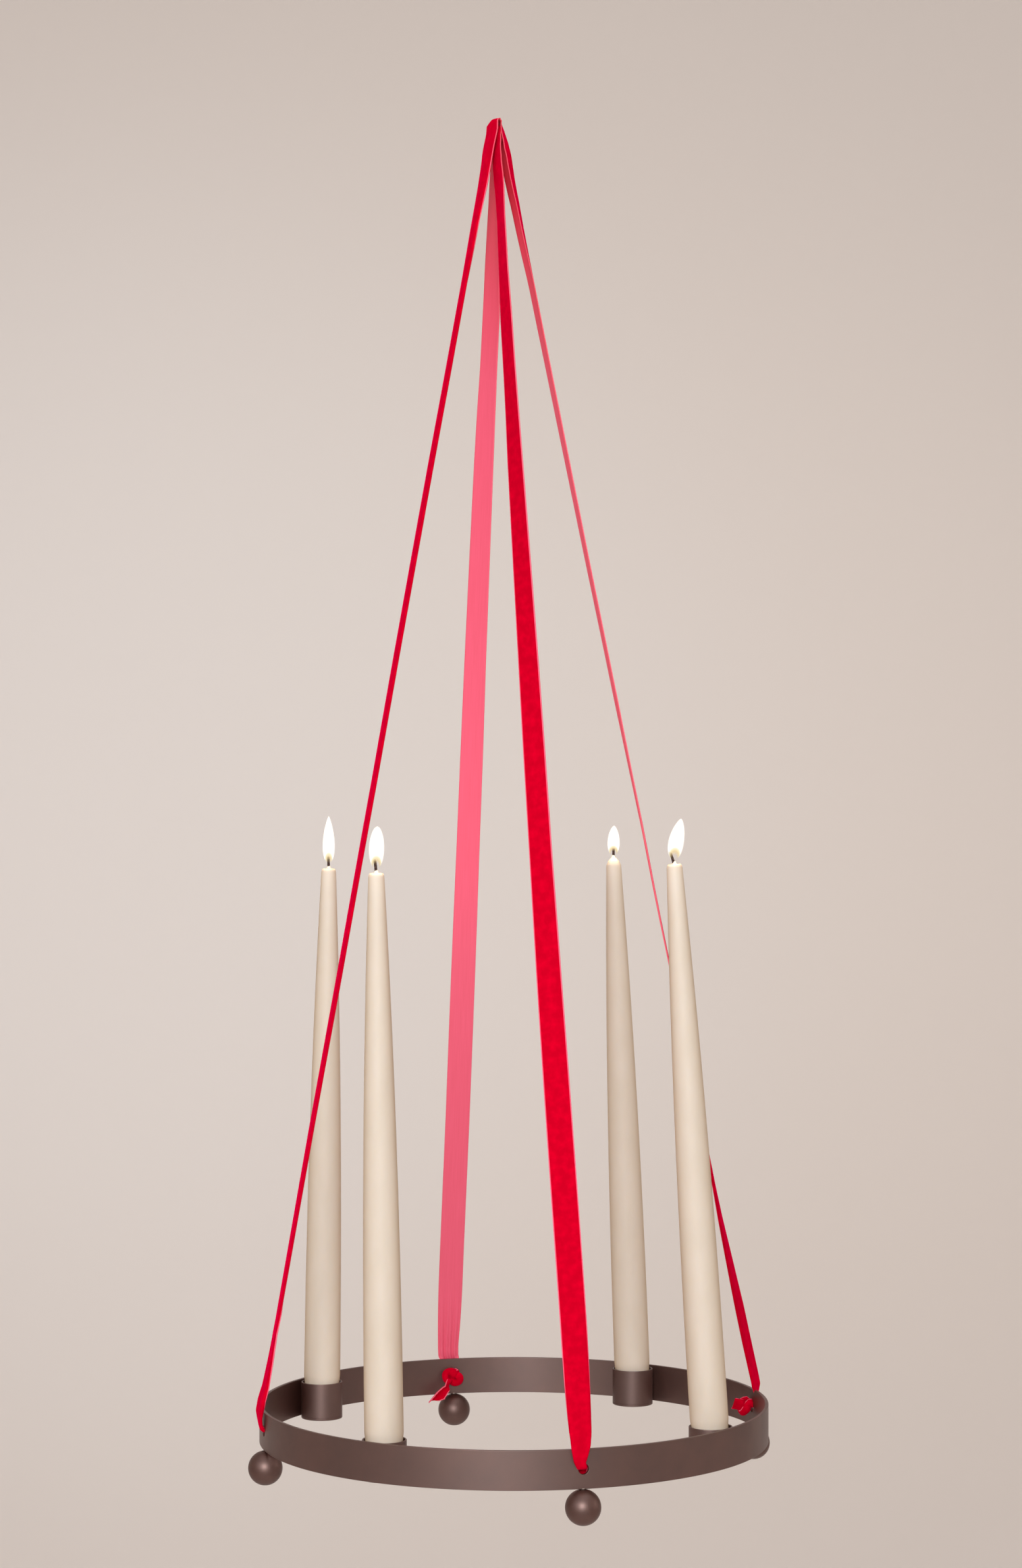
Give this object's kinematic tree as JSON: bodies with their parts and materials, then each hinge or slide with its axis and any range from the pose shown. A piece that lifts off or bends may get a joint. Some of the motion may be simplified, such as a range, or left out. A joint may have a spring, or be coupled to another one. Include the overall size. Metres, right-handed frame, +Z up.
{
  "type": "hanging advent candle ring",
  "caption": "Dark bronzed brass band on ball feet with candle cups and taper candles inside it, hung level from crossed red velvet ribbons.",
  "frame": {"origin": "the hanging point, under the fold of the lower ribbon, where a hook or thread bears", "axes": "+Z up, away from the ring; -Y from the ring's centre to its front ribbon hole, +X to its right one"},
  "size_m": [0.318, 0.318, 0.7992],
  "materials": {
    "dark_brass": "dark bronzed, satin",
    "wax": "ivory candle wax, silky",
    "wick": "charred cotton",
    "velvet_ribbon": "red velvet face with a pink satin back",
    "flame": "emissive"
  },
  "bodies": {
    "root": {"ring_band": "dark_brass", "ball_foot_front": "dark_brass", "ball_foot_right": "dark_brass", "ball_foot_back": "dark_brass", "ball_foot_left": "dark_brass", "cup_front_left": "dark_brass", "candle_front_left": "wax", "wick_front_left": "wick", "cup_front_right": "dark_brass", "candle_front_right": "wax", "wick_front_right": "wick", "cup_back_right": "dark_brass", "candle_back_right": "wax", "wick_back_right": "wick", "cup_back_left": "dark_brass", "candle_back_left": "wax", "wick_back_left": "wick", "ribbon_front_back": "velvet_ribbon", "ribbon_left_right": "velvet_ribbon"}
  },
  "joints": []
}
